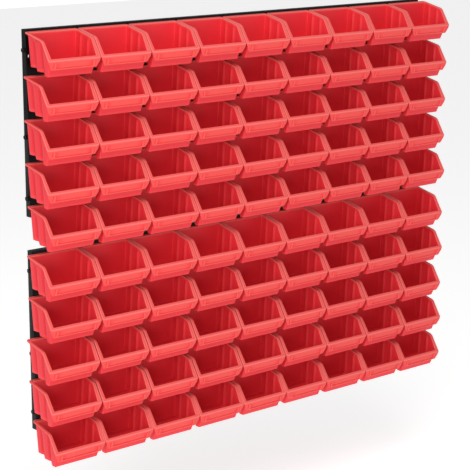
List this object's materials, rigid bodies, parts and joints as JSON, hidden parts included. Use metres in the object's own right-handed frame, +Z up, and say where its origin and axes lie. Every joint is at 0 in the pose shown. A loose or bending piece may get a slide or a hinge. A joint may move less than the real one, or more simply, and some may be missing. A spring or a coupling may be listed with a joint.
{
  "type": "hanging parts bin set",
  "caption": "Wall-hung storage set: black moulded rail panels carrying rows of hook-on, open-fronted red parts bins that lift off.",
  "frame": {"origin": "middle of the back of the upper middle panel, on the wall plane", "axes": "+X along the rails to the right as seen from the front, +Y into the wall, +Z up; the bins face -Y"},
  "size_m": [1.167, 0.1028, 0.9064],
  "materials": {
    "bin_red": "satin moulded polypropylene, red",
    "panel_black": "satin moulded plastic, black"
  },
  "bodies": {
    "wall_panels": {"panel_upper_left": "panel_black", "panel_upper_middle": "panel_black", "panel_upper_right": "panel_black", "panel_lower_left": "panel_black", "panel_lower_middle": "panel_black", "panel_lower_right": "panel_black"},
    "bin_r1_c1": {"bin_r1_c1": "bin_red"},
    "bin_r1_c2": {"bin_r1_c2": "bin_red"},
    "bin_r1_c3": {"bin_r1_c3": "bin_red"},
    "bins_r1_middle": {"bins_r1_middle": "bin_red"},
    "bins_r1_right": {"bins_r1_right": "bin_red"},
    "bins_r2_left": {"bins_r2_left": "bin_red"},
    "bins_r2_middle": {"bins_r2_middle": "bin_red"},
    "bins_r2_right": {"bins_r2_right": "bin_red"},
    "bins_r3_left": {"bins_r3_left": "bin_red"},
    "bins_r3_middle": {"bins_r3_middle": "bin_red"},
    "bins_r3_right": {"bins_r3_right": "bin_red"},
    "bins_r4_left": {"bins_r4_left": "bin_red"},
    "bins_r4_middle": {"bins_r4_middle": "bin_red"},
    "bins_r4_right": {"bins_r4_right": "bin_red"},
    "bins_r5_left": {"bins_r5_left": "bin_red"},
    "bins_r5_middle": {"bins_r5_middle": "bin_red"},
    "bins_r5_right": {"bins_r5_right": "bin_red"},
    "bins_r6_left": {"bins_r6_left": "bin_red"},
    "bins_r6_middle": {"bins_r6_middle": "bin_red"},
    "bins_r6_right": {"bins_r6_right": "bin_red"},
    "bins_r7_left": {"bins_r7_left": "bin_red"},
    "bins_r7_middle": {"bins_r7_middle": "bin_red"},
    "bins_r7_right": {"bins_r7_right": "bin_red"},
    "bins_r8_left": {"bins_r8_left": "bin_red"},
    "bins_r8_middle": {"bins_r8_middle": "bin_red"},
    "bins_r8_right": {"bins_r8_right": "bin_red"},
    "bins_r9_left": {"bins_r9_left": "bin_red"},
    "bins_r9_middle": {"bins_r9_middle": "bin_red"},
    "bins_r9_right": {"bins_r9_right": "bin_red"},
    "bins_r10_left": {"bins_r10_left": "bin_red"},
    "bins_r10_middle": {"bins_r10_middle": "bin_red"},
    "bins_r10_right": {"bins_r10_right": "bin_red"}
  },
  "joints": [
    {"name": "lift_bin_r1_c1", "type": "slide", "parent": "wall_panels", "child": "bin_r1_c1", "axis": [0, 0, 1], "range_m": [0, 0.008]},
    {"name": "lift_bin_r1_c2", "type": "slide", "parent": "wall_panels", "child": "bin_r1_c2", "axis": [0, 0, 1], "range_m": [0, 0.008]},
    {"name": "lift_bin_r1_c3", "type": "slide", "parent": "wall_panels", "child": "bin_r1_c3", "axis": [0, 0, 1], "range_m": [0, 0.008]},
    {"name": "lift_bins_r1_middle", "type": "slide", "parent": "wall_panels", "child": "bins_r1_middle", "axis": [0, 0, 1], "range_m": [0, 0.008]},
    {"name": "lift_bins_r1_right", "type": "slide", "parent": "wall_panels", "child": "bins_r1_right", "axis": [0, 0, 1], "range_m": [0, 0.008]},
    {"name": "lift_bins_r2_left", "type": "slide", "parent": "wall_panels", "child": "bins_r2_left", "axis": [0, 0, 1], "range_m": [0, 0.008]},
    {"name": "lift_bins_r2_middle", "type": "slide", "parent": "wall_panels", "child": "bins_r2_middle", "axis": [0, 0, 1], "range_m": [0, 0.008]},
    {"name": "lift_bins_r2_right", "type": "slide", "parent": "wall_panels", "child": "bins_r2_right", "axis": [0, 0, 1], "range_m": [0, 0.008]},
    {"name": "lift_bins_r3_left", "type": "slide", "parent": "wall_panels", "child": "bins_r3_left", "axis": [0, 0, 1], "range_m": [0, 0.008]},
    {"name": "lift_bins_r3_middle", "type": "slide", "parent": "wall_panels", "child": "bins_r3_middle", "axis": [0, 0, 1], "range_m": [0, 0.008]},
    {"name": "lift_bins_r3_right", "type": "slide", "parent": "wall_panels", "child": "bins_r3_right", "axis": [0, 0, 1], "range_m": [0, 0.008]},
    {"name": "lift_bins_r4_left", "type": "slide", "parent": "wall_panels", "child": "bins_r4_left", "axis": [0, 0, 1], "range_m": [0, 0.008]},
    {"name": "lift_bins_r4_middle", "type": "slide", "parent": "wall_panels", "child": "bins_r4_middle", "axis": [0, 0, 1], "range_m": [0, 0.008]},
    {"name": "lift_bins_r4_right", "type": "slide", "parent": "wall_panels", "child": "bins_r4_right", "axis": [0, 0, 1], "range_m": [0, 0.008]},
    {"name": "lift_bins_r5_left", "type": "slide", "parent": "wall_panels", "child": "bins_r5_left", "axis": [0, 0, 1], "range_m": [0, 0.008]},
    {"name": "lift_bins_r5_middle", "type": "slide", "parent": "wall_panels", "child": "bins_r5_middle", "axis": [0, 0, 1], "range_m": [0, 0.008]},
    {"name": "lift_bins_r5_right", "type": "slide", "parent": "wall_panels", "child": "bins_r5_right", "axis": [0, 0, 1], "range_m": [0, 0.008]},
    {"name": "lift_bins_r6_left", "type": "slide", "parent": "wall_panels", "child": "bins_r6_left", "axis": [0, 0, 1], "range_m": [0, 0.008]},
    {"name": "lift_bins_r6_middle", "type": "slide", "parent": "wall_panels", "child": "bins_r6_middle", "axis": [0, 0, 1], "range_m": [0, 0.008]},
    {"name": "lift_bins_r6_right", "type": "slide", "parent": "wall_panels", "child": "bins_r6_right", "axis": [0, 0, 1], "range_m": [0, 0.008]},
    {"name": "lift_bins_r7_left", "type": "slide", "parent": "wall_panels", "child": "bins_r7_left", "axis": [0, 0, 1], "range_m": [0, 0.008]},
    {"name": "lift_bins_r7_middle", "type": "slide", "parent": "wall_panels", "child": "bins_r7_middle", "axis": [0, 0, 1], "range_m": [0, 0.008]},
    {"name": "lift_bins_r7_right", "type": "slide", "parent": "wall_panels", "child": "bins_r7_right", "axis": [0, 0, 1], "range_m": [0, 0.008]},
    {"name": "lift_bins_r8_left", "type": "slide", "parent": "wall_panels", "child": "bins_r8_left", "axis": [0, 0, 1], "range_m": [0, 0.008]},
    {"name": "lift_bins_r8_middle", "type": "slide", "parent": "wall_panels", "child": "bins_r8_middle", "axis": [0, 0, 1], "range_m": [0, 0.008]},
    {"name": "lift_bins_r8_right", "type": "slide", "parent": "wall_panels", "child": "bins_r8_right", "axis": [0, 0, 1], "range_m": [0, 0.008]},
    {"name": "lift_bins_r9_left", "type": "slide", "parent": "wall_panels", "child": "bins_r9_left", "axis": [0, 0, 1], "range_m": [0, 0.008]},
    {"name": "lift_bins_r9_middle", "type": "slide", "parent": "wall_panels", "child": "bins_r9_middle", "axis": [0, 0, 1], "range_m": [0, 0.008]},
    {"name": "lift_bins_r9_right", "type": "slide", "parent": "wall_panels", "child": "bins_r9_right", "axis": [0, 0, 1], "range_m": [0, 0.008]},
    {"name": "lift_bins_r10_left", "type": "slide", "parent": "wall_panels", "child": "bins_r10_left", "axis": [0, 0, 1], "range_m": [0, 0.008]},
    {"name": "lift_bins_r10_middle", "type": "slide", "parent": "wall_panels", "child": "bins_r10_middle", "axis": [0, 0, 1], "range_m": [0, 0.008]},
    {"name": "lift_bins_r10_right", "type": "slide", "parent": "wall_panels", "child": "bins_r10_right", "axis": [0, 0, 1], "range_m": [0, 0.008]}
  ]
}
